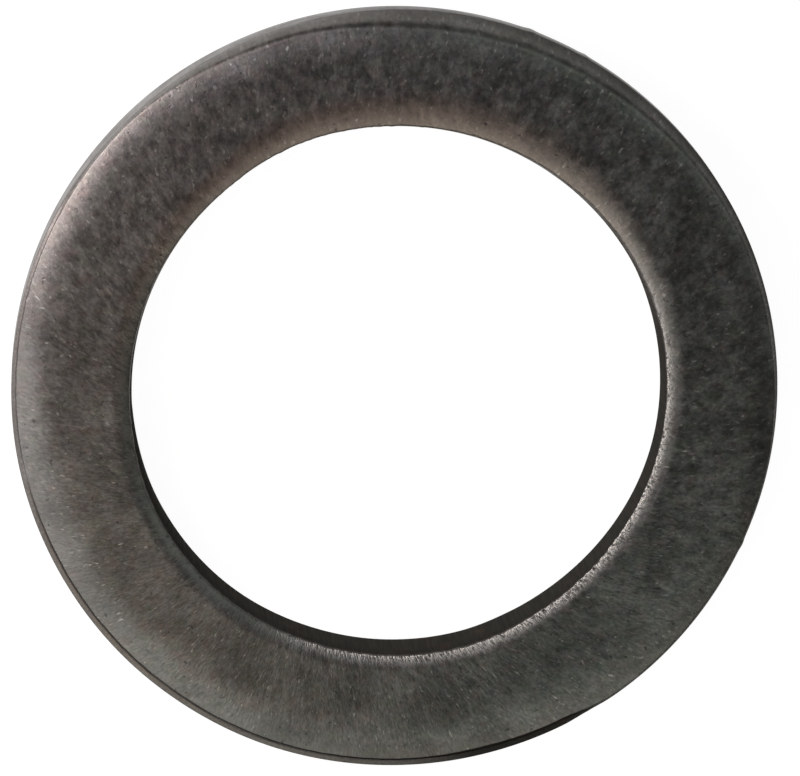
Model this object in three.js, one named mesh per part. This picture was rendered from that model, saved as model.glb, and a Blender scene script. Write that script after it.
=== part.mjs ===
// Flat washer: one blanked and pierced ring of plain carbon steel.
// Millimetres, +Z up. The origin is on the bore's axis, in the plane of the bottom face.

import * as THREE from 'three';

// Driving dimensions of the ring.
const OUTER_DIAMETER = 40.0;
const BORE_DIAMETER = 28.0;
const THICKNESS = 3.5;

// The top face is the one that the tools enter: they draw the metal down at both rims, so each
// shoulder is rolled over, wider than it is deep.
const OUTER_ROLL = { width: 1.2, depth: 0.7, steps: 7 };
const BORE_ROLL = { width: 0.9, depth: 0.6, steps: 6 };

// The bottom face is the one that they leave: tumbling has taken the burr down to a small round.
const BOTTOM_ROUND = { width: 0.25, depth: 0.25, steps: 3 };

// Facets round the ring. Divisible by four, so that the box measures the full outer diameter.
const FACETS = 96;

const outerRadius = OUTER_DIAMETER / 2;
const boreRadius = BORE_DIAMETER / 2;

/**
 * A rounded corner of the ring's section, as a quarter of an ellipse, its two ends included.
 * `wallRadius` is the wall that it leaves, `faceHeight` the face that it meets, `into` is +1 where
 * the metal lies at a larger radius than the wall and -1 where it lies at a smaller one, and `down`
 * is +1 under a top face and -1 over a bottom one. The points run from the wall to the face.
 */
function corner(round, wallRadius, faceHeight, into, down) {
  const points = [];
  for (let step = 0; step <= round.steps; step += 1) {
    const turn = (Math.PI / 2) * (step / round.steps);
    points.push(new THREE.Vector2(
      wallRadius + into * round.width * (1 - Math.cos(turn)),
      faceHeight - down * round.depth * (1 - Math.sin(turn)),
    ));
  }
  return points;
}

/** The ring's section, from the bore's lower corner outwards and back over the top face. */
function ringSection() {
  const section = [
    ...corner(BOTTOM_ROUND, boreRadius, 0, 1, -1),
    ...corner(BOTTOM_ROUND, outerRadius, 0, -1, -1).reverse(),
    ...corner(OUTER_ROLL, outerRadius, THICKNESS, -1, 1),
    ...corner(BORE_ROLL, boreRadius, THICKNESS, 1, 1).reverse(),
  ];
  section.push(section[0].clone());
  return section;
}

/** The steel ring, turned round its own axis. */
function washerRing() {
  const geometry = new THREE.LatheGeometry(ringSection(), FACETS);
  geometry.rotateX(Math.PI / 2);
  const steel = new THREE.MeshStandardMaterial({
    name: 'tumbled_dark_steel',
    color: 0x55534f,
    roughness: 0.5,
    metalness: 1.0,
  });
  const mesh = new THREE.Mesh(geometry, steel);
  mesh.name = 'washer_ring';
  return mesh;
}

const washer = new THREE.Group();
washer.name = 'flat_washer';
washer.add(washerRing());

export default washer;
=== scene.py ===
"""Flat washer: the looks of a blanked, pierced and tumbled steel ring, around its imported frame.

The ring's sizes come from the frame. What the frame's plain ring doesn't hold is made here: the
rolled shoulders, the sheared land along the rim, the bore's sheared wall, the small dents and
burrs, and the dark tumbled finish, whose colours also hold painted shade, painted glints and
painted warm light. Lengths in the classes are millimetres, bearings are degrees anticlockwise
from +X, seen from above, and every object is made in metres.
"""

import logging
import math
from collections.abc import Callable
from dataclasses import dataclass, field, fields
from enum import Enum

import bpy
import numpy as np
from mathutils import Matrix, Vector, noise


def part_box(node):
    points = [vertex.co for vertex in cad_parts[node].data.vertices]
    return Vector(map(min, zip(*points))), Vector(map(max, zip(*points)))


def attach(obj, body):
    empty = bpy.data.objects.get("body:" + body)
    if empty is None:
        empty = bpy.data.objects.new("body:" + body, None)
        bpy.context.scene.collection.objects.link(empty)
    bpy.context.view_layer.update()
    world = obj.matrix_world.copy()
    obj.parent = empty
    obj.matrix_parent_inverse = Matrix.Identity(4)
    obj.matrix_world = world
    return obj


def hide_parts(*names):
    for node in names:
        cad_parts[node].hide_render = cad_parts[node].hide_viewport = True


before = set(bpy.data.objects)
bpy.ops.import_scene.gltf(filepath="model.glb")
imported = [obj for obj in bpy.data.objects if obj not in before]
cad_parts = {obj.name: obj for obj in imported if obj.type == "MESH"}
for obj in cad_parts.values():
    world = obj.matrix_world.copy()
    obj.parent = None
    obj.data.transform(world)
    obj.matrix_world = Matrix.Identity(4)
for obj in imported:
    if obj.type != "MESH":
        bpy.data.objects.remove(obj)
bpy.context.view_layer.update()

MM = 0.001
# Tumbling dragged the ring's marks in strokes that fan out from this point: x and y.
FAN_CENTRE = (-3.4, -5.9)
# The values that the ring's mesh holds at each point, which its finishes read: wear, oxide and
# painted shade, crushing and painted glints, and painted warm light.
WEAR, OXIDE_AND_PAINTED_SHADE, CRUSH_AND_PAINTED_GLINTS, PAINTED_WARM_LIGHT = "wear", "grime", "nicks", "tan"
log = logging.getLogger("washer")

# A pattern's grain along three axes, in millimetres.
Grain = tuple[float, float, float]
# One value, or an array with one for each bearing.
Values = float | np.ndarray


def linear(hex_colour: str) -> tuple[float, float, float, float]:
    """Turns an sRGB hex colour into the linear colour that shaders take.

    Args:
        hex_colour: the colour as "#rrggbb".

    Returns:
        Red, green, blue and an alpha of 1, in linear light.
    """
    channels = [int(hex_colour[i : i + 2], 16) / 255 for i in (1, 3, 5)]
    red, green, blue = (
        c / 12.92 if c <= 0.04045 else ((c + 0.055) / 1.055) ** 2.4 for c in channels
    )
    return red, green, blue, 1.0


def add_node(
    tree: bpy.types.NodeTree,
    kind: str,
    settings: dict[str, object] | None = None,
    inputs: dict[str | int, object] | None = None,
) -> bpy.types.Node:
    """Adds one node to a tree, sets it up and links it.

    Args:
        tree: the node tree that it goes in.
        kind: the node's type, such as "ShaderNodeTexNoise".
        settings: the node's own properties by name.
        inputs: what each input takes, by name or number: a socket to link, or a value.

    Returns:
        The new node.
    """
    node = tree.nodes.new(kind)
    for name, value in (settings or {}).items():
        setattr(node, name, value)
    for name, value in (inputs or {}).items():
        if isinstance(value, bpy.types.NodeSocket):
            tree.links.new(value, node.inputs[name])
        else:
            node.inputs[name].default_value = value
    return node


def ranged(
    tree: bpy.types.NodeTree,
    value: bpy.types.NodeSocket,
    start: tuple[float, float],
    end: tuple[float, float],
) -> bpy.types.NodeSocket:
    """Maps a value smoothly from one range onto another.

    Args:
        tree: the material's tree.
        value: the value to map.
        start: a value, and the result there and before it.
        end: another value, and the result there and past it.

    Returns:
        The mapped value's socket.
    """
    inputs = {
        "Value": value, "From Min": start[0], "From Max": end[0],
        "To Min": start[1], "To Max": end[1],
    }
    settings = {"interpolation_type": "SMOOTHSTEP"}
    return add_node(tree, "ShaderNodeMapRange", settings, inputs).outputs["Result"]


def product(
    tree: bpy.types.NodeTree, first: bpy.types.NodeSocket, second: bpy.types.NodeSocket
) -> bpy.types.NodeSocket:
    """Multiplies two values.

    Args:
        tree: the material's tree.
        first: one value's socket.
        second: the other value's socket.

    Returns:
        The product's socket.
    """
    inputs = {0: first, 1: second}
    return add_node(tree, "ShaderNodeMath", {"operation": "MULTIPLY"}, inputs).outputs[0]


def mixed(
    tree: bpy.types.NodeTree, share: object, first: object, second: object, blend: str = "MIX"
) -> bpy.types.NodeSocket:
    """Mixes two colours.

    Args:
        tree: the material's tree.
        share: the second colour's share, a number or a socket.
        first: the first colour or its socket.
        second: the second colour or its socket.
        blend: how the second goes over the first.

    Returns:
        The mixed colour's socket.
    """
    settings = {"data_type": "RGBA", "blend_type": blend}
    inputs = {0: share, 6: first, 7: second}
    return add_node(tree, "ShaderNodeMix", settings, inputs).outputs[2]


def relief(
    tree: bpy.types.NodeTree, layers: list[tuple[bpy.types.NodeSocket, float]]
) -> bpy.types.NodeSocket:
    """Turns patterns into one bumped normal.

    Args:
        tree: the material's tree.
        layers: each pattern's socket with its height in millimetres.

    Returns:
        The bumped normal's socket.
    """
    total: object = 0.0
    for pattern, height in layers:
        inputs = {0: pattern, 1: height, 2: total}
        total = add_node(
            tree, "ShaderNodeMath", {"operation": "MULTIPLY_ADD"}, inputs
        ).outputs[0]
    inputs = {"Height": total, "Strength": 1.0, "Distance": MM}
    return add_node(tree, "ShaderNodeBump", {}, inputs).outputs["Normal"]


@dataclass(frozen=True)
class SteelFinish:
    """What both finishes of the ring share: how a pattern is laid over the steel."""

    name: str
    roughness: float

    def _start(self) -> tuple[bpy.types.Material, bpy.types.NodeTree, bpy.types.NodeSocket]:
        """Makes an empty material.

        Returns:
            The material, its tree and the place on the ring in millimetres.
        """
        made = bpy.data.materials.new(self.name)
        made.use_nodes = True
        tree = made.node_tree
        tree.nodes.clear()
        place = add_node(tree, "ShaderNodeTexCoord").outputs["Object"]
        in_mm = {0: place, "Scale": 1 / MM}
        place = add_node(
            tree, "ShaderNodeVectorMath", {"operation": "SCALE"}, in_mm
        ).outputs["Vector"]
        return made, tree, place

    @staticmethod
    def _held(tree: bpy.types.NodeTree, name: str) -> bpy.types.NodeSocket:
        """Gives the socket of a value that the mesh holds at each point."""
        return add_node(tree, "ShaderNodeAttribute", {"attribute_name": name}).outputs["Fac"]

    @staticmethod
    def _noise(
        tree: bpy.types.NodeTree,
        place: bpy.types.NodeSocket,
        grain: Grain,
        detail: float = 3.0,
    ) -> bpy.types.Node:
        """Adds a noise whose grain has a real size.

        Args:
            tree: the material's tree.
            place: the place on the ring in millimetres.
            grain: the grain's size along each axis, in millimetres.
            detail: how many finer octaves the noise has.

        Returns:
            The noise's node.
        """
        per_grain = {0: place, 1: tuple(1 / size for size in grain)}
        place = add_node(
            tree, "ShaderNodeVectorMath", {"operation": "MULTIPLY"}, per_grain
        ).outputs["Vector"]
        inputs = {"Vector": place, "Scale": 1.0, "Detail": detail, "Roughness": 0.6}
        return add_node(tree, "ShaderNodeTexNoise", {}, inputs)

    @staticmethod
    def _fanned(
        tree: bpy.types.NodeTree,
        place: bpy.types.NodeSocket,
        centre: tuple[float, float],
        reach: float,
    ) -> bpy.types.NodeSocket:
        """Bends space so that a pattern's third axis fans out from a point.

        Args:
            tree: the material's tree.
            place: the place on the ring in millimetres.
            centre: the point, as x and y in millimetres.
            reach: how far from the point the pattern's widths are true, in millimetres.

        Returns:
            A place whose first two axes go round the point and whose third goes out from it.
        """
        def maths(operation: str, first: object, second: object) -> bpy.types.Node:
            """Adds one step of vector maths."""
            return add_node(
                tree, "ShaderNodeVectorMath", {"operation": operation}, {0: first, 1: second}
            )

        unused = (0.0, 0.0, 0.0)
        away = maths("SUBTRACT", place, (*centre, 0.0)).outputs["Vector"]
        away = maths("MULTIPLY", away, (1.0, 1.0, 0.0)).outputs["Vector"]
        out = maths("LENGTH", away, unused).outputs["Value"]
        around = maths("NORMALIZE", away, unused).outputs["Vector"]
        around = maths("MULTIPLY", around, (reach, reach, 0.0)).outputs["Vector"]
        outward = add_node(tree, "ShaderNodeCombineXYZ", {}, {"Z": out}).outputs["Vector"]
        return maths("ADD", around, outward).outputs["Vector"]

    @staticmethod
    def _bare(tree: bpy.types.NodeTree, grime: bpy.types.NodeSocket) -> bpy.types.NodeSocket:
        """Gives how much of the steel is bare metal, under its oxide and painted shade."""
        return ranged(tree, grime, (0.1, 1.0), (0.8, 0.0))

    @staticmethod
    def _finish(
        tree: bpy.types.NodeTree,
        colour: bpy.types.NodeSocket,
        metal: bpy.types.NodeSocket,
        gloss: bpy.types.NodeSocket,
        normal: bpy.types.NodeSocket,
    ) -> None:
        """Adds the surface itself.

        Args:
            tree: the material's tree.
            colour: the surface's colour.
            metal: how much of it is bare metal.
            gloss: its roughness.
            normal: its bumped normal.
        """
        # Where the steel isn't bare, under oxide and painted shade, it has no shine of its own.
        inputs = {
            "Base Color": colour, "Metallic": metal, "Roughness": gloss, "Normal": normal,
            "Specular IOR Level": 0.0,
        }
        shader = add_node(tree, "ShaderNodeBsdfPrincipled", {}, inputs)
        add_node(tree, "ShaderNodeOutputMaterial", {}, {"Surface": shader.outputs["BSDF"]})


@dataclass(frozen=True)
class TumbledSteel(SteelFinish):
    """Self-coloured carbon steel, hot rolled, blanked, then tumbled in a barrel.

    Tumbling leaves a satin, dark grey skin with a fine hammered grain, small open pits where the
    mill scale came off, and short bright rubs that fan out across the ring. The scale leaves
    faint brown, green and blue patches. The rolled shoulders are rubbed brightest. Its colour
    also holds painted shade, painted glints on the bore's edge and painted warm light.
    """

    name: str = "tumbled_carbon_steel"
    roughness: float = 0.42
    # How much glossier the hammering's hollows are, and how much duller its tops are.
    gloss_change: tuple[float, float] = (0.045, 0.055)
    skin: str = "#6a6967"
    brown_patch: str = "#6e6563"
    green_patch: str = "#666a63"
    blue_patch: str = "#666768"
    # A lighter warm tint painted where warm light falls: painted warm light, not a stain.
    tan: str = "#7d6c66"
    pit: str = "#33302e"
    rub: str = "#b4b0ab"
    fleck: str = "#d6d3ce"
    # The dark colour that is painted both as oxide and as painted shade.
    oxide: str = "#3a3733"
    cloud_grain: Grain = (2.6, 2.4, 2.4)
    patch_grain: Grain = (0.78, 0.70, 0.70)
    scale_loss_grain: Grain = (0.30, 0.28, 0.28)
    # These lie along the fan. Real barrel marks are near 0.05 mm wide, too fine to show on a
    # whole ring, so they are drawn about three times as coarse.
    fine_grain: Grain = (0.15, 0.15, 0.24)
    hammer_grain: Grain = (0.46, 0.46, 0.70)
    streak_grain: Grain = (0.15, 0.15, 0.42)
    fleck_grain: Grain = (0.20, 0.20, 0.42)
    nick_grain: Grain = (0.20, 0.20, 0.30)
    fan_centre: tuple[float, float] = FAN_CENTRE
    fan_reach: float = 17.0
    # How high each pattern stands out of the skin, in millimetres.
    fine_height: float = 0.008
    hammer_height: float = 0.010
    streak_height: float = 0.010
    pit_depth: float = 0.012
    nick_height: float = 0.200

    def material(self) -> bpy.types.Material:
        """Makes the material.

        Returns:
            The finish as a node material, with its patterns in millimetres.
        """
        made, tree, place = self._start()
        wear, grime, crushed_and_glinting, painted_warmth = (
            self._held(tree, name) for name in (WEAR, OXIDE_AND_PAINTED_SHADE, CRUSH_AND_PAINTED_GLINTS, PAINTED_WARM_LIGHT)
        )
        pattern = self._patterns(tree, place)
        pits = ranged(tree, pattern["scale_loss"], (0.22, 0.50), (0.33, 0.0))
        colour = self._skin(tree, pattern, painted_warmth)
        colour = self._marked(tree, colour, pattern, pits, wear)
        # Painted glints on the bore's crushed edge: pale flecks, with painted shade between them.
        colour = self._glinting(tree, colour, pattern["nick_and_glint"], crushed_and_glinting)
        # The outer corner and the land are painted dark with oxide and painted shade, as the mesh
        # holds them.
        colour = mixed(tree, grime, colour, linear(self.oxide))
        glossier, duller = self.gloss_change
        gloss = ranged(
            tree, pattern["hammer"],
            (0.3, self.roughness - glossier), (0.7, self.roughness + duller),
        )
        normal = relief(tree, [
            (pattern["fine"], self.fine_height), (pattern["hammer"], self.hammer_height),
            (pattern["streak"], self.streak_height), (pits, -self.pit_depth),
            (product(tree, pattern["nick_and_glint"], crushed_and_glinting), self.nick_height),
        ])
        self._finish(tree, colour, self._bare(tree, grime), gloss, normal)
        return made

    def _patterns(
        self, tree: bpy.types.NodeTree, place: bpy.types.NodeSocket
    ) -> dict[str, bpy.types.NodeSocket]:
        """Lays the patterns over the ring.

        Args:
            tree: the material's tree.
            place: the place on the ring in millimetres.

        Returns:
            Each pattern's socket by name. The three kinds of patch are Red, Green and Blue.
        """
        fan = self._fanned(tree, place, self.fan_centre, self.fan_reach)
        laid = {
            "cloud": (place, self.cloud_grain, 2.0),
            "scale_loss": (place, self.scale_loss_grain, 1.0),
            "fine": (fan, self.fine_grain, 3.0),
            "hammer": (fan, self.hammer_grain, 2.0),
            "streak": (fan, self.streak_grain, 2.0),
            "fleck": (fan, self.fleck_grain, 1.0),
            "nick_and_glint": (fan, self.nick_grain, 2.5),
        }
        found = {
            name: self._noise(tree, space, grain, detail).outputs["Fac"]
            for name, (space, grain, detail) in laid.items()
        }
        patches = self._noise(tree, place, self.patch_grain, 1.5).outputs["Color"]
        split = add_node(tree, "ShaderNodeSeparateColor", {}, {"Color": patches}).outputs
        return found | {channel: split[channel] for channel in ("Red", "Green", "Blue")}

    def _skin(
        self,
        tree: bpy.types.NodeTree,
        pattern: dict[str, bpy.types.NodeSocket],
        painted_warmth: bpy.types.NodeSocket,
    ) -> bpy.types.NodeSocket:
        """Mixes the skin's colour, before any mark: its patches, its painted warm light and its
        tones.

        Args:
            tree: the material's tree.
            pattern: the patterns' sockets by name.
            painted_warmth: how much painted warm light the skin has.

        Returns:
            The colour's socket.
        """
        colour: object = linear(self.skin)
        for channel, patch in (
            ("Red", self.brown_patch), ("Green", self.green_patch), ("Blue", self.blue_patch),
        ):
            share = ranged(tree, pattern[channel], (0.46, 0.0), (0.72, 0.75))
            colour = mixed(tree, share, colour, linear(patch))
        # Painted warm light: the lighter warm tint on the bore's edge and one side of the face.
        painted_warmth_share = ranged(tree, painted_warmth, (0.0, 0.0), (1.0, 0.85))
        colour = mixed(tree, painted_warmth_share, colour, linear(self.tan))
        # The bore's edge was rubbed evenly, so under its painted warm light the grain's tones are
        # calmer than the face's.
        strength = ranged(tree, painted_warmth, (0.0, 1.0), (1.0, 0.45))
        for name, dark, light in (
            ("cloud", 0.78, 1.27), ("hammer", 0.88, 1.13), ("fine", 0.75, 1.29),
        ):
            tone = ranged(tree, pattern[name], (0.28, dark), (0.72, light))
            colour = mixed(tree, strength, colour, tone, "MULTIPLY")
        return colour

    def _marked(
        self,
        tree: bpy.types.NodeTree,
        colour: bpy.types.NodeSocket,
        pattern: dict[str, bpy.types.NodeSocket],
        pits: bpy.types.NodeSocket,
        wear: bpy.types.NodeSocket,
    ) -> bpy.types.NodeSocket:
        """Lays the barrel's marks over the skin: rubs, flecks, wear and pits.

        Args:
            tree: the material's tree.
            colour: the skin's colour.
            pattern: the patterns' sockets by name.
            pits: where the pits are.
            wear: how worn the steel is.

        Returns:
            The marked colour's socket.
        """
        rubbed = ranged(tree, pattern["streak"], (0.60, 0.0), (0.78, 0.50))
        flecked = ranged(tree, pattern["fleck"], (0.67, 0.0), (0.81, 0.50))
        worn = ranged(tree, wear, (0.0, 0.0), (1.0, 0.22))
        for share, mark in (
            (rubbed, self.rub), (flecked, self.fleck), (worn, self.rub), (pits, self.pit),
        ):
            colour = mixed(tree, share, colour, linear(mark))
        return colour

    def _glinting(
        self,
        tree: bpy.types.NodeTree,
        colour: bpy.types.NodeSocket,
        nick_and_glint: bpy.types.NodeSocket,
        crushed_and_glinting: bpy.types.NodeSocket,
    ) -> bpy.types.NodeSocket:
        """Paints glints on the bore's crushed edge.

        Painted glints: pale flecks where crystals of steel were torn flat, with painted shade
        between them.

        Args:
            tree: the material's tree.
            colour: the marked skin's colour.
            nick_and_glint: the crystals' pattern, for the nicks and the painted glints.
            crushed_and_glinting: how crushed the steel is, which is also where glints are
                painted.

        Returns:
            The colour's socket.
        """
        # The flecks' pale colour is painted as glints, and the pits' dark colour as painted shade
        # between them.
        for least, most, painted_glint_tone in ((0.41, 0.50, self.fleck), (0.40, 0.33, self.pit)):
            share = product(tree, ranged(tree, nick_and_glint, (least, 0.0), (most, 1.0)), crushed_and_glinting)
            colour = mixed(tree, share, colour, linear(painted_glint_tone))
        return colour


@dataclass(frozen=True)
class ShearedSteel(SteelFinish):
    """The same steel where the punch and the die sheared it.

    The burnished shear is smooth, with fine drag lines down the wall, and keeps the dark oil and
    oxide that tumbling rubbed off the faces. Its dark colour also holds painted shade.
    """

    name: str = "sheared_carbon_steel"
    roughness: float = 0.40
    gloss_change: tuple[float, float] = (0.05, 0.08)
    clean: str = "#75716e"
    # The dark colour that is painted both as oxide and as painted shade.
    oxide: str = "#343330"
    rust_tint: str = "#40362f"
    # Real drag lines are finer, so they are drawn as coarse as they need to show.
    drag_grain: Grain = (0.16, 0.16, 3.0)
    stain_grain: Grain = (1.8, 1.8, 1.2)
    drag_height: float = 0.006
    stain_height: float = 0.01

    def material(self) -> bpy.types.Material:
        """Makes the material.

        Returns:
            The finish as a node material, with its patterns in millimetres.
        """
        made, tree, place = self._start()
        grime = self._held(tree, OXIDE_AND_PAINTED_SHADE)
        drag = self._noise(tree, place, self.drag_grain, 3.0).outputs["Fac"]
        stain = self._noise(tree, place, self.stain_grain, 2.0).outputs["Fac"]
        colour: object = mixed(tree, grime, linear(self.clean), linear(self.oxide))
        rusted = product(tree, ranged(tree, stain, (0.55, 0.0), (0.72, 0.7)), grime)
        colour = mixed(tree, rusted, colour, linear(self.rust_tint))
        tone = ranged(tree, drag, (0.3, 0.86), (0.7, 1.16))
        colour = mixed(tree, 1.0, colour, tone, "MULTIPLY")
        glossier, duller = self.gloss_change
        gloss = ranged(
            tree, stain, (0.3, self.roughness - glossier), (0.7, self.roughness + duller)
        )
        normal = relief(tree, [(drag, self.drag_height), (stain, self.stain_height)])
        self._finish(tree, colour, self._bare(tree, grime), gloss, normal)
        return made


class Surface(Enum):
    """The two ways in which a part of the ring's surface was made, as material numbers."""

    TUMBLED = 0
    SHEARED = 1


@dataclass(frozen=True)
class Sector:
    """A stretch of bearings that is strongest in its middle. Both values are degrees."""

    middle: float
    reach: float

    def share(self, turn: np.ndarray) -> np.ndarray:
        """Gives 1 at the middle, falling softly to 0 at the reach to each side of it."""
        off = np.abs((turn - self.middle + 180) % 360 - 180) / self.reach
        return np.clip(1 - off**2, 0, 1)


@dataclass(frozen=True)
class Station:
    """What the ring's edges are like at one bearing. Lengths are millimetres.

    The rolled shoulder bends over its first width, more suddenly at its end the sharper it is,
    then runs straight over its second, to a rounded corner that falls away. Past the corner a
    torn groove and a sloping land may follow. The oxide and painted shade is how much of the
    corner and the land is painted dark, partly as oxide and partly as painted shade. The bore's
    roll has a width of its own. The rim and the bore stand a little out from true circles, or in
    from them where the value is below 0.
    """

    bearing: Values
    bend: Values
    sharpness: Values
    straight: Values
    corner: Values
    corner_fall: Values
    groove: Values
    land: Values
    land_slope: Values
    grime: Values
    bore_roll: Values
    rim_out: Values
    bore_out: Values


@dataclass(frozen=True)
class Edges:
    """The lines round the ring at which its section turns.

    Each is an array with a value for each bearing. A plain name is a distance from the axis, and
    a name that ends in z is a height above the underside, both in millimetres. The groove's
    bottom is groove_out past the crease.
    """

    face_in: np.ndarray
    face_out: np.ndarray
    face_z: np.ndarray
    straight_z: np.ndarray
    shoulder: np.ndarray
    shoulder_z: np.ndarray
    crease: np.ndarray
    crease_z: np.ndarray
    groove_out: np.ndarray
    groove_z: np.ndarray
    land: np.ndarray
    land_z: np.ndarray
    rim: np.ndarray
    wall_z: np.ndarray
    bore: np.ndarray
    bore_crease: np.ndarray


@dataclass
class Section:
    """The ring's skin as rows of points that go round its section, at every bearing."""

    turn: np.ndarray
    radius: list[np.ndarray] = field(default_factory=list)
    height: list[np.ndarray] = field(default_factory=list)
    wear: list[np.ndarray] = field(default_factory=list)
    grime: list[np.ndarray] = field(default_factory=list)
    surfaces: list[Surface] = field(default_factory=list)

    def stretch(
        self, rows: int, surface: Surface, shape: Callable[[float], tuple[Values, ...]]
    ) -> None:
        """Adds one stretch of the section.

        Args:
            rows: how many rows it has; its last point is left to the next stretch.
            surface: how this stretch of the surface was made.
            shape: gives the radius, height, wear, and oxide and painted shade for a share of the
                stretch.
        """
        for k in range(rows):
            places = (self.radius, self.height, self.wear, self.grime)
            for held, value in zip(places, shape(k / rows)):
                held.append(np.broadcast_to(value, self.turn.shape))
            self.surfaces.append(surface)


@dataclass
class WasherRing:
    """The ring itself: one piece, made as a closed skin of sections round the axis."""

    outer_radius: float
    bore_radius: float
    thickness: float
    bearings: int = 980
    # The skin stays this far inside the frame's rim.
    rim_clearance: float = 0.002
    # The pierced hole came out a little off the blank's centre.
    bore_offset: tuple[float, float] = (0.087, 0.123)
    # The hole's offset fades outward, and this much of the ring by the rim stays centred.
    centred_rim: float = 1.0
    # Blanking dishes the ring: its top falls a little from the bore to the rim.
    dish: float = 0.035
    outer_slope: float = 0.32
    bottom_round: float = 0.20
    # The bore's roll: its depth, how fast it falls, and how its rows crowd to the crease.
    bore_roll_depth: float = 0.25
    bore_power: float = 2.0
    bore_crowding: float = 1.25
    # The torn taper between the bore's wall and its crease: its width and its height.
    bore_taper: tuple[float, float] = (0.20, 0.35)
    # How far out the groove's bottom is, as a share of its depth, how far out the land starts,
    # as a multiple of that, and how much of its depth the groove comes up again.
    groove_width: float = 0.55
    land_start: float = 1.3
    groove_rise: float = 0.5
    # Where there's less groove than this, its rows run on down the corner instead: this far out,
    # and down by the first value, or by both where the corner is bigger than these widths.
    least_groove: float = 0.03
    corner_step_out: float = 0.004
    corner_step_down: tuple[float, float] = (0.002, 0.018)
    big_corner: tuple[float, float] = (0.10, 0.35)
    # A groove this much deeper than the least is torn, and is painted dark all over, as painted
    # shade in its crease.
    torn_depth: float = 0.08
    # A land wider than the first value has a crease of its own, and it sags by the third where
    # it's as wide as the second. It rounds over into the rim's wall.
    least_land: float = 0.05
    wide_land: float = 0.3
    land_sag: float = 0.05
    land_rounding: float = 1.6
    # How far the rim's crease wanders, how far the bore's wanders everywhere and where it's
    # ragged, and how many times the two wander in a millimetre.
    rim_wander: float = 0.02
    bore_wander: tuple[float, float] = (0.03, 0.02)
    wanders_per_mm: tuple[float, float] = (1.3, 2.8)
    # How far from the bore's crease the edge is crushed and painted with glints.
    crushed_reach: float = 0.6
    # The bore's taper narrows at the top and at the lower right, by these widths.
    narrow_taper: tuple[tuple[Sector, float], ...] = (
        (Sector(110, 95), 0.15), (Sector(331, 40), 0.165),
    )
    ragged_crease: Sector = Sector(300, 80)
    # The bore's edge is crushed round this sector, and painted with glints there.
    crushed_edge: Sector = Sector(312, 80)
    # The bore's wall is painted dark with oxide and painted shade, least round this sector.
    clean_wall: Sector = Sector(100, 90)
    # Painted warm light on the bore's edge round one sector, and a weaker haze of it over the
    # face round another.
    tan_edge: Sector = Sector(110, 95)
    tan_haze: Sector = Sector(140, 75)
    haze_strength: float = 0.28
    # Each station's values stand in the order of Station's fields.
    stations: tuple[Station, ...] = (
        Station(20, 1.9, 2.5, 0.14, 0.40, 0.60, 0.00, 0.02, 6.0, 0.86, 1.15, -0.04, -0.12),
        Station(60, 1.9, 2.4, 0.15, 0.74, 1.10, 0.00, 0.02, 6.0, 0.72, 1.70, -0.09, -0.17),
        Station(85, 2.0, 2.4, 0.15, 0.78, 1.15, 0.00, 0.02, 6.0, 0.62, 1.65, -0.13, -0.15),
        Station(110, 2.1, 2.4, 0.14, 0.44, 0.70, 0.00, 0.02, 6.0, 0.35, 1.50, -0.14, -0.08),
        Station(135, 2.4, 2.8, 0.10, 0.12, 0.20, 0.00, 0.03, 3.0, 0.00, 1.15, -0.09, -0.20),
        Station(155, 2.3, 2.4, 0.30, 0.08, 0.08, 0.00, 0.14, 0.2, 0.00, 1.00, -0.06, -0.20),
        Station(185, 2.1, 2.0, 0.80, 0.03, 0.02, 0.00, 0.26, 0.2, 0.00, 0.90, -0.06, -0.21),
        Station(208, 2.0, 2.0, 0.90, 0.02, 0.01, 0.01, 0.34, 0.1, 0.00, 0.80, -0.10, -0.11),
        Station(232, 2.0, 2.0, 0.80, 0.02, 0.01, 0.02, 0.38, 0.1, 0.00, 0.78, -0.07, -0.07),
        Station(252, 2.0, 2.0, 0.80, 0.02, 0.02, 0.09, 0.38, 0.1, 0.00, 0.75, -0.02, -0.11),
        Station(268, 2.0, 2.0, 0.70, 0.02, 0.02, 0.14, 0.40, 0.2, 0.10, 0.70, -0.02, -0.10),
        Station(284, 2.0, 2.0, 0.60, 0.02, 0.02, 0.22, 0.48, 0.4, 1.00, 0.70, 0.00, -0.09),
        Station(296, 2.0, 2.0, 0.60, 0.04, 0.04, 0.15, 0.42, 0.4, 1.00, 0.70, 0.00, -0.15),
        Station(305, 2.0, 2.0, 0.60, 0.16, 0.12, 0.00, 0.03, 3.0, 0.80, 0.70, 0.00, -0.16),
        Station(345, 1.8, 2.2, 0.40, 0.16, 0.16, 0.00, 0.02, 6.0, 0.75, 0.90, -0.06, -0.05),
    )
    # Small burrs that stand out of the rim: bearing, width and height.
    burrs: tuple[tuple[float, float, float], ...] = (
        (69.0, 0.30, 0.050), (60.0, 0.22, 0.035), (335.5, 0.25, 0.040),
    )
    # The tumbling dings: their number, the least and most of each size, how far they lean off
    # the fan in radians, and how far they keep from the bore and the rim.
    dings: int = 420
    ding_length: tuple[float, float] = (0.12, 0.45)
    ding_width: tuple[float, float] = (0.07, 0.14)
    ding_depth: tuple[float, float] = (0.006, 0.026)
    ding_lean: float = 0.3
    ding_margins: tuple[float, float] = (0.4, 0.3)
    fan_centre: tuple[float, float] = FAN_CENTRE
    seed: int = 7

    def _blended(self, turn: np.ndarray) -> Station:
        """Blends the stations round the ring.

        Args:
            turn: the bearings wanted, in degrees.

        Returns:
            A station whose values are arrays, easing from station to station.
        """
        knots = np.array([s.bearing for s in self.stations], float)
        knots = np.concatenate([knots - 360, knots, knots + 360])
        place = np.clip(np.searchsorted(knots, turn, side="right") - 1, 0, len(knots) - 2)
        share = (turn - knots[place]) / (knots[place + 1] - knots[place])
        share = share * share * (3 - 2 * share)
        blended = {"bearing": turn}
        for name in (f.name for f in fields(Station)[1:]):
            values = np.tile(np.array([getattr(s, name) for s in self.stations], float), 3)
            blended[name] = values[place] * (1 - share) + values[place + 1] * share
        return Station(**blended)

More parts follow.
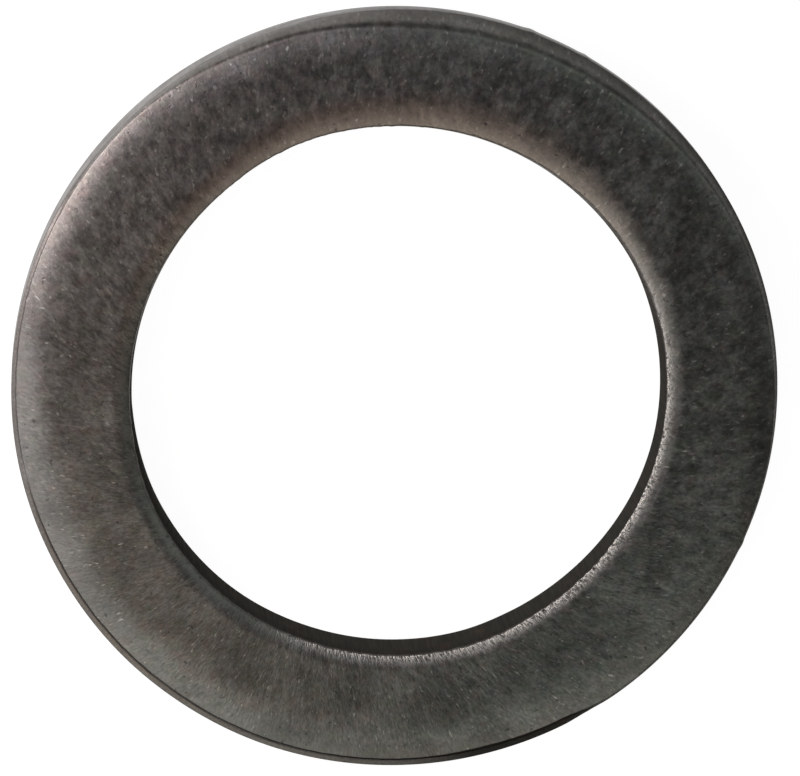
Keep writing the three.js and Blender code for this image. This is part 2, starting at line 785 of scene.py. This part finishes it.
    def _edges(self, at: Station) -> Edges:
        """Works out the lines at which the section turns.

        Args:
            at: the stations' values at every bearing.

        Returns:
            The lines' distances from the axis and their heights.
        """
        turn, top = at.bearing, self.thickness
        rim_wave, bore_wave = self._wander(turn)
        rim = np.minimum(
            self.outer_radius + at.rim_out + self._burr(turn),
            self.outer_radius - self.rim_clearance,
        )
        bore = self.bore_radius + at.bore_out
        taper = self.bore_taper[0]
        for sector, width in self.narrow_taper:
            taper = taper - width * sector.share(turn)
        steady, ragged = self.bore_wander
        wander = steady + ragged * self.ragged_crease.share(turn)
        bore_crease = bore + taper + wander * bore_wave
        has_land = at.land > self.least_land
        crease = rim - at.land + self.rim_wander * rim_wave * has_land
        shoulder = crease - at.corner
        face_out, face_in = shoulder - at.bend - at.straight, bore_crease + at.bore_roll
        face_z = top - self.dish * (face_out - face_in)
        slope = self.outer_slope
        straight_z = face_z - slope * at.bend / (at.sharpness + 1) - self.dish * at.bend
        shoulder_z = straight_z - (slope + self.dish) * at.straight
        crease_z = shoulder_z - (slope + self.dish) * at.corner - at.corner_fall
        whole = 1 - np.clip(at.groove / self.least_groove, 0, 1)
        small_step, big_step = self.corner_step_down
        small, big = self.big_corner
        bigness = np.clip((at.corner - small) / (big - small), 0, 1)
        step_down = whole * (small_step + big_step * bigness)
        groove_out = self.groove_width * at.groove + self.corner_step_out * whole
        groove_z = crease_z - at.groove - step_down
        land = crease + self.land_start * groove_out
        land_z = groove_z + self.groove_rise * at.groove - step_down
        sag = self.land_sag * np.clip(at.land / self.wide_land, 0, 1)
        return Edges(
            face_in=face_in, face_out=face_out, face_z=face_z, straight_z=straight_z,
            shoulder=shoulder, shoulder_z=shoulder_z, crease=crease, crease_z=crease_z,
            groove_out=groove_out, groove_z=groove_z, land=land, land_z=land_z,
            rim=rim, wall_z=land_z - at.land_slope * (rim - land) - sag,
            bore=bore, bore_crease=bore_crease,
        )

    def _add_top(self, section: Section, at: Station, edge: Edges) -> None:
        """Adds the flat face and the rolled shoulder, out to its rounded corner.

        Args:
            section: the rows so far.
            at: the stations' values at every bearing.
            edge: the lines at which the section turns.
        """
        top, slope, full = self.thickness, self.outer_slope, math.pi / 2
        # Where the corner holds oxide and painted shade, the roll beside it is painted with less
        # wear too, so it stays darker.
        rub = 1 - 0.4 * at.grime
        section.stretch(22, Surface.TUMBLED, lambda s: (
            edge.face_in + (edge.face_out - edge.face_in) * s,
            top + (edge.face_z - top) * s, 0.0, 0.0,
        ))
        section.stretch(12, Surface.TUMBLED, lambda s: (
            edge.face_out + at.bend * s,
            edge.face_z - slope * at.bend * s ** (at.sharpness + 1) / (at.sharpness + 1)
            - self.dish * at.bend * s,
            0.4 * s * rub, 0.0,
        ))
        section.stretch(6, Surface.TUMBLED, lambda s: (
            edge.shoulder - at.straight * (1 - s),
            edge.straight_z + (edge.shoulder_z - edge.straight_z) * s,
            (0.4 + 0.6 * s) * rub, 0.0,
        ))
        section.stretch(13, Surface.TUMBLED, lambda s: (
            edge.shoulder + at.corner * math.sin(full * s),
            edge.shoulder_z - (slope + self.dish) * at.corner * math.sin(full * s)
            - at.corner_fall * (1 - math.cos(full * s)),
            (1.0 - 0.5 * s) * rub, at.grime * s * (2 - s),
        ))

    def _add_rim(self, section: Section, at: Station, edge: Edges) -> None:
        """Adds the torn groove, the sheared land and the rim's wall.

        Args:
            section: the rows so far.
            at: the stations' values at every bearing.
            edge: the lines at which the section turns.
        """
        # A torn groove is painted dark as shade in its crease, on top of the corner's oxide and
        # painted shade.
        painted_crease_shade = np.clip((at.groove - self.least_groove) / self.torn_depth, 0, 1)
        groove_oxide_and_painted_shade = np.maximum(painted_crease_shade, at.grime)

        def rounded(s: float) -> float:
            """Gives how far out a share of the land's rows is."""
            return 1 - (1 - s) ** self.land_rounding

        section.stretch(3, Surface.TUMBLED, lambda s: (
            edge.crease + edge.groove_out * s,
            edge.crease_z + (edge.groove_z - edge.crease_z) * s, 0.5 - 0.5 * s, groove_oxide_and_painted_shade,
        ))
        section.stretch(2, Surface.SHEARED, lambda s: (
            edge.crease + edge.groove_out + (edge.land - edge.crease - edge.groove_out) * s,
            edge.groove_z + (edge.land_z - edge.groove_z) * s, 0.0, groove_oxide_and_painted_shade,
        ))
        section.stretch(4, Surface.SHEARED, lambda s: (
            edge.land + (edge.rim - edge.land) * rounded(s),
            edge.land_z - (edge.land_z - edge.wall_z) * (0.9 * rounded(s) + 0.1 * s),
            0.0, at.grime,
        ))
        # The land's oxide and painted shade thin out down the wall, which keeps a little of its
        # own.
        section.stretch(4, Surface.SHEARED, lambda s: (
            edge.rim, edge.wall_z + (self.bottom_round - edge.wall_z) * s,
            0.0, 0.8 * at.grime * (1 - s) + 0.15 * s,
        ))

    def _add_underside(self, section: Section, edge: Edges) -> None:
        """Adds the flat underside and the small round at each of its edges.

        Args:
            section: the rows so far.
            edge: the lines at which the section turns.
        """
        round_, full = self.bottom_round, math.pi / 2
        section.stretch(4, Surface.TUMBLED, lambda s: (
            edge.rim - round_ * (1 - math.cos(full * s)),
            round_ * (1 - math.sin(full * s)), 0.8, 0.0,
        ))
        section.stretch(3, Surface.TUMBLED, lambda s: (
            edge.rim - round_ - (edge.rim - edge.bore - 2 * round_) * s, 0.0, 0.0, 0.0,
        ))
        section.stretch(4, Surface.TUMBLED, lambda s: (
            edge.bore + round_ * (1 - math.sin(full * s)),
            round_ * (1 - math.cos(full * s)), 0.8, 0.0,
        ))

    def _add_bore(self, section: Section, at: Station, edge: Edges) -> None:
        """Adds the bore's wall, its torn taper and its rolled edge, back to the flat face.

        Args:
            section: the rows so far.
            at: the stations' values at every bearing.
            edge: the lines at which the section turns.
        """
        crease_z = self.thickness - self.bore_roll_depth
        taper_down = self.bore_taper[1]
        # The bore's wall is dark with oxide and painted shade, less so round the less shaded
        # sector.
        grime = 1 - 0.7 * self.clean_wall.share(at.bearing)
        section.stretch(5, Surface.SHEARED, lambda s: (
            edge.bore,
            self.bottom_round + (crease_z - taper_down - self.bottom_round) * s, 0.0, grime,
        ))
        section.stretch(3, Surface.SHEARED, lambda s: (
            edge.bore + (edge.bore_crease - edge.bore) * s,
            crease_z - taper_down * (1 - s), 0.0, grime,
        ))
        section.stretch(16, Surface.TUMBLED, lambda s: (
            edge.face_in - at.bore_roll * (1 - s) ** self.bore_crowding,
            self.thickness
            - self.bore_roll_depth * (1 - s) ** (self.bore_crowding * self.bore_power),
            1.0 - s, 0.0,
        ))

    def _held_values(
        self, section: Section, at: Station, edge: Edges
    ) -> dict[str, np.ndarray]:
        """Gathers the values that the mesh holds at each point for its finishes.

        Args:
            section: all the rows.
            at: the stations' values at every bearing.
            edge: the lines at which the section turns.

        Returns:
            Each value by name, as rows by bearings, from 0 to 1.
        """
        radius, height = np.array(section.radius), np.array(section.height)
        upper = height > self.thickness / 2
        past_crease = radius - edge.bore_crease
        # The painted warm light reaches half as far again as the bore's roll, and is full on most
        # of it.
        near = np.where(upper, np.clip(1 - past_crease / (1.5 * at.bore_roll), 0, 1), 0)
        fringe = np.where(upper, np.clip(1 - past_crease / self.crushed_reach, 0, 1), 0)
        tan = np.clip(1.6 * near, 0, 1) * self.tan_edge.share(at.bearing)
        painted_haze = self.haze_strength * self.tan_haze.share(at.bearing)
        return {
            WEAR: np.array(section.wear),
            OXIDE_AND_PAINTED_SHADE: np.array(section.grime),
            CRUSH_AND_PAINTED_GLINTS: fringe**1.5 * self.crushed_edge.share(at.bearing),
            PAINTED_WARM_LIGHT: np.maximum(tan, painted_haze),
        }

    def _wander(self, turn: np.ndarray) -> np.ndarray:
        """Gives the small wander of the two creases round the ring.

        Args:
            turn: the bearings, in degrees.

        Returns:
            One row for the rim's crease and one for the bore's, from about -1 to 1.
        """
        rows = []
        # Each crease takes its own level of the noise.
        for level, reach, per_mm in zip(
            (3.0, 11.0), (self.outer_radius, self.bore_radius), self.wanders_per_mm
        ):
            rows.append([
                noise.fractal(
                    Vector((reach * math.cos(a), reach * math.sin(a), level)) * per_mm,
                    0.8, 2.0, 2,
                )
                for a in np.radians(turn)
            ])
        return np.array(rows)

    def _burr(self, turn: np.ndarray) -> np.ndarray:
        """Works out how far the rim's burrs stand out.

        Args:
            turn: the bearings, in degrees.

        Returns:
            The height of the burrs at each bearing.
        """
        out = np.zeros_like(turn)
        for bearing, width, height in self.burrs:
            along = (turn - bearing + 180) % 360 - 180
            along = np.radians(along) * self.outer_radius / width
            out += height * np.exp(-(along**2))
        return out

    def _dinged(self, points: np.ndarray, depth: np.ndarray) -> np.ndarray:
        """Strikes the tumbling dings into the top.

        Args:
            points: the ring's points, as rows by bearings by three.
            depth: how strongly each point takes a mark, from 0 to 1.

        Returns:
            How far each point goes down.
        """
        draw = np.random.default_rng(self.seed)
        off_bore, off_rim = self.ding_margins
        down = np.zeros(depth.shape)
        for _ in range(self.dings):
            reach = draw.uniform(self.bore_radius + off_bore, self.outer_radius - off_rim)
            turn = draw.uniform(0, 2 * math.pi)
            length, width = draw.uniform(*self.ding_length), draw.uniform(*self.ding_width)
            strike = draw.uniform(*self.ding_depth)
            lean = math.atan2(
                reach * math.sin(turn) - self.fan_centre[1],
                reach * math.cos(turn) - self.fan_centre[0],
            ) + draw.normal(0, self.ding_lean)
            dx = points[..., 0] - reach * math.cos(turn)
            dy = points[..., 1] - reach * math.sin(turn)
            along = (dx * math.cos(lean) + dy * math.sin(lean)) / length
            across = (dy * math.cos(lean) - dx * math.sin(lean)) / width
            down += strike * np.exp(-(along**2) - across**2)
        return down * depth

    def _points(self, section: Section) -> np.ndarray:
        """Places the ring's points, with the hole off centre and the top dinged.

        Args:
            section: all the rows.

        Returns:
            The points in millimetres, as rows by bearings by three.
        """
        radius, height = np.array(section.radius), np.array(section.height)
        span = self.outer_radius - self.bore_radius - self.centred_rim
        shift = np.clip((self.outer_radius - self.centred_rim - radius) / span, 0, 1)
        x = radius * np.cos(np.radians(section.turn)) + shift * self.bore_offset[0]
        y = radius * np.sin(np.radians(section.turn)) + shift * self.bore_offset[1]
        points = np.stack([x, y, height], axis=-1)
        tumbled = np.array([s is Surface.TUMBLED for s in section.surfaces])[:, None]
        on_top = tumbled & (height > self.thickness / 2)
        points[..., 2] -= self._dinged(points, on_top.astype(float))
        return points

    def build(self) -> bpy.types.Object:
        """Makes the ring's mesh.

        Returns:
            The ring, riding on nothing yet.
        """
        turn = np.arange(self.bearings) * 360 / self.bearings
        at = self._blended(turn)
        edge = self._edges(at)
        section = Section(turn)
        self._add_top(section, at, edge)
        self._add_rim(section, at, edge)
        self._add_underside(section, edge)
        self._add_bore(section, at, edge)

        points = self._points(section)
        rows, count = points.shape[:2]
        index = np.arange(rows * count).reshape(rows, count)
        after = np.roll(index, -1, axis=0)
        quads = np.stack(
            [index, after, np.roll(after, -1, axis=1), np.roll(index, -1, axis=1)], axis=-1
        ).reshape(-1, 4)
        mesh = bpy.data.meshes.new("steel_ring")
        mesh.from_pydata((points.reshape(-1, 3) * MM).tolist(), [], quads.tolist())
        numbers = np.repeat([s.value for s in section.surfaces], count)
        mesh.polygons.foreach_set("material_index", numbers)
        for name, values in self._held_values(section, at, edge).items():
            mesh.attributes.new(name, "FLOAT", "POINT").data.foreach_set(
                "value", values.reshape(-1)
            )
        mesh.polygons.foreach_set("use_smooth", [True] * len(mesh.polygons))
        mesh.update()
        ring = bpy.data.objects.new("steel_ring", mesh)
        bpy.context.scene.collection.objects.link(ring)
        return ring

    def dress(self, ring: bpy.types.Object) -> None:
        """Gives the ring its finishes.

        Args:
            ring: the ring's object.
        """
        for finish in (TumbledSteel(fan_centre=self.fan_centre), ShearedSteel()):
            ring.data.materials.append(finish.material())


class LampKind(Enum):
    """A soft disc hung near the washer, or a wide patch of far, soft sky light."""

    PANEL = "AREA"
    SKY = "SUN"


@dataclass(frozen=True)
class Lamp:
    """One soft light of the studio.

    A panel's spread is its width and its distance is from the washer, both in millimetres, and
    its power is in watts. A sky patch's spread is the angle that it covers, in degrees, and its
    power is in watts per square metre.
    """

    name: str
    kind: LampKind
    bearing: float
    elevation: float
    spread: float
    distance: float
    power: float
    colour: str


@dataclass
class Studio:
    """The light table that the washer lies on, the soft lights round it and the camera."""

    top: float
    # The camera leans from straight above, toward its bearing.
    tilt: float = 11.3
    camera_bearing: float = 105.0
    camera_distance: float = 350.0
    # How wide a strip of the washer's top plane the view takes in, and where its middle is,
    # right of and above the ring's axis.
    frame_width: float = 41.48
    framing: tuple[float, float] = (0.19, 0.345)
    sensor: float = 36.0
    # The nearest and the farthest that the camera sees.
    clipping: tuple[float, float] = (10.0, 10000.0)
    floor_side: float = 3000.0
    # The floor is this far under the washer, so that the two don't flicker.
    floor_gap: float = 0.02
    floor_colour: str = "#70706f"
    table_glow: float = 0.95
    backdrop: str = "#f4f4f2"
    lamps: tuple[Lamp, ...] = (
        Lamp("window_panel", LampKind.PANEL, 150, 30, 50, 75, 0.034, "#fff4f3"),
        Lamp("left_sky", LampKind.SKY, 202, 42, 34, 0, 0.48, "#fffdff"),
        Lamp("front_left_sky", LampKind.SKY, 247, 42, 34, 0, 0.29, "#f9fff6"),
        Lamp("top_sky", LampKind.SKY, 120, 65, 30, 0, 0.28, "#f7f4ff"),
        Lamp("front_sky", LampKind.SKY, 292, 42, 34, 0, 0.19, "#fff1e8"),
        Lamp("left_panel", LampKind.PANEL, 230, 55, 40, 60, 0.0021, "#ffe5ca"),
        Lamp("front_panel", LampKind.PANEL, 300, 45, 50, 80, 0.0028, "#e4fff0"),
        Lamp("right_sky", LampKind.SKY, 22, 42, 34, 0, 0.15, "#f6fff8"),
        Lamp("back_panel", LampKind.PANEL, 60, 45, 50, 80, 0.0019, "#ecfff0"),
    )

    def build(self) -> None:
        """Makes the floor, the lights, the camera and the backdrop."""
        self._floor()
        for lamp in self.lamps:
            self._hang(lamp)
        self._camera()
        self._backdrop()
        bpy.context.scene.view_settings.view_transform = "Standard"

    def _backdrop(self) -> None:
        """Makes the pale backdrop, which gives no light of its own."""
        world = bpy.data.worlds.new("pale_backdrop")
        world.use_nodes = True
        background = world.node_tree.nodes["Background"]
        background.inputs["Color"].default_value = linear(self.backdrop)
        world.cycles_visibility.diffuse = False
        world.cycles_visibility.glossy = False
        bpy.context.scene.world = world

    @staticmethod
    def _toward(bearing: float, elevation: float) -> Vector:
        """The unit direction at a bearing and an elevation, both in degrees."""
        a, e = math.radians(bearing), math.radians(elevation)
        return Vector((math.cos(a) * math.cos(e), math.sin(a) * math.cos(e), math.sin(e)))

    def _floor(self) -> None:
        """Makes the light table that the washer lies on."""
        half = self.floor_side / 2 * MM
        mesh = bpy.data.meshes.new("floor")
        mesh.from_pydata(
            [(-half, -half, 0), (half, -half, 0), (half, half, 0), (-half, half, 0)],
            [], [(0, 1, 2, 3)],
        )
        floor = bpy.data.objects.new("floor", mesh)
        floor.location.z = -self.floor_gap * MM
        bpy.context.scene.collection.objects.link(floor)
        made = bpy.data.materials.new("opal_light_table")
        made.use_nodes = True
        shader = made.node_tree.nodes["Principled BSDF"]
        shader.inputs["Base Color"].default_value = linear(self.floor_colour)
        shader.inputs["Roughness"].default_value = 0.9
        shader.inputs["Specular IOR Level"].default_value = 0.2
        # An opal acrylic sheet lit from below: it glows nearly white, so shadows hardly show.
        shader.inputs["Emission Color"].default_value = linear("#ffffff")
        shader.inputs["Emission Strength"].default_value = self.table_glow
        mesh.materials.append(made)

    def _hang(self, lamp: Lamp) -> None:
        """Hangs one light, aimed at the washer.

        Args:
            lamp: the light's kind, place, spread, power and colour.
        """
        data = bpy.data.lights.new(lamp.name, lamp.kind.value)
        data.energy = lamp.power
        data.color = linear(lamp.colour)[:3]
        if lamp.kind is LampKind.PANEL:
            data.shape = "DISK"
            data.size = lamp.spread * MM
        else:
            data.angle = math.radians(lamp.spread)
        light = bpy.data.objects.new(lamp.name, data)
        away = self._toward(lamp.bearing, lamp.elevation)
        light.location = away * lamp.distance * MM
        light.rotation_euler = away.to_track_quat("Z", "Y").to_euler()
        light.visible_camera = False
        bpy.context.scene.collection.objects.link(light)

    def _camera(self) -> None:
        """Makes the camera, with +Y up in its view."""
        away = self._toward(self.camera_bearing, 90 - self.tilt)
        right = Vector((0, 1, 0)).cross(away).normalized()
        up = away.cross(right)
        data = bpy.data.cameras.new("camera")
        data.sensor_width = self.sensor
        data.lens = self.sensor * self.camera_distance / self.frame_width
        data.clip_start, data.clip_end = (reach * MM for reach in self.clipping)
        camera = bpy.data.objects.new("camera", data)
        aim = Vector((0, 0, self.top)) + right * self.framing[0] + up * self.framing[1]
        turn = Matrix((right, up, away)).transposed().to_4x4()
        camera.matrix_world = Matrix.Translation((aim + away * self.camera_distance) * MM) @ turn
        bpy.context.scene.collection.objects.link(camera)
        bpy.context.scene.camera = camera


def main() -> None:
    """Builds the studio and the washer around the frame, and reports each piece."""
    logging.basicConfig(level=logging.INFO, format="%(name)s: %(message)s")
    low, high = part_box("washer_ring")
    bore = min(math.hypot(v.co.x, v.co.y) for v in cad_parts["washer_ring"].data.vertices)
    washer = WasherRing(
        outer_radius=(high.x - low.x) / 2 / MM,
        bore_radius=bore / MM,
        thickness=(high.z - low.z) / MM,
    )
    Studio(top=washer.thickness).build()
    ring = washer.build()
    washer.dress(ring)
    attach(ring, "root")
    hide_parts("washer_ring")
    log.info("%s: %d faces", ring.name, len(ring.data.polygons))


if __name__ == "__main__":
    main()
